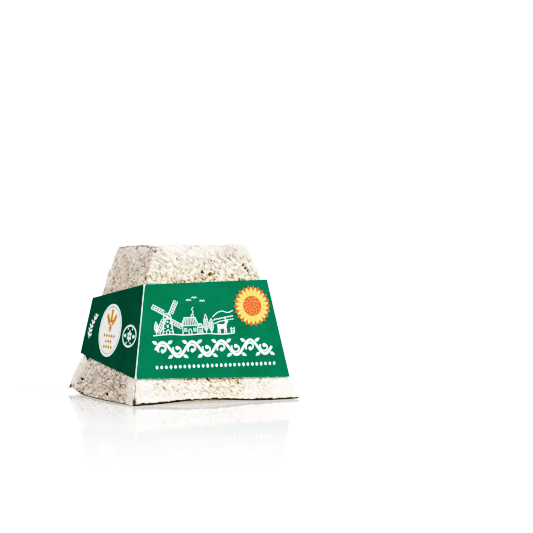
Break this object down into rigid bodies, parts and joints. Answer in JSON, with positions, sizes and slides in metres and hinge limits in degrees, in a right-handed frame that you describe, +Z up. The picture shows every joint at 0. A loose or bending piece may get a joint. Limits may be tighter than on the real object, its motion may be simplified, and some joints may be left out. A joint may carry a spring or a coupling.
{
  "type": "goat cheese pyramid",
  "caption": "Ripe goat cheese shaped like a cut-off square pyramid with a wrinkled white rind, held round its middle by a folded green card sleeve.",
  "frame": {"origin": "middle of the flat base, on the surface that the cheese stands on", "axes": "+Z up through the small top; -Y is the front panel of the sleeve; -X is the left panel"},
  "size_m": [0.0774, 0.0774, 0.0657],
  "materials": {
    "rind": "matte",
    "printed_card": "satin"
  },
  "bodies": {
    "root": {"cheese": "rind", "sleeve": "printed_card"}
  },
  "joints": []
}
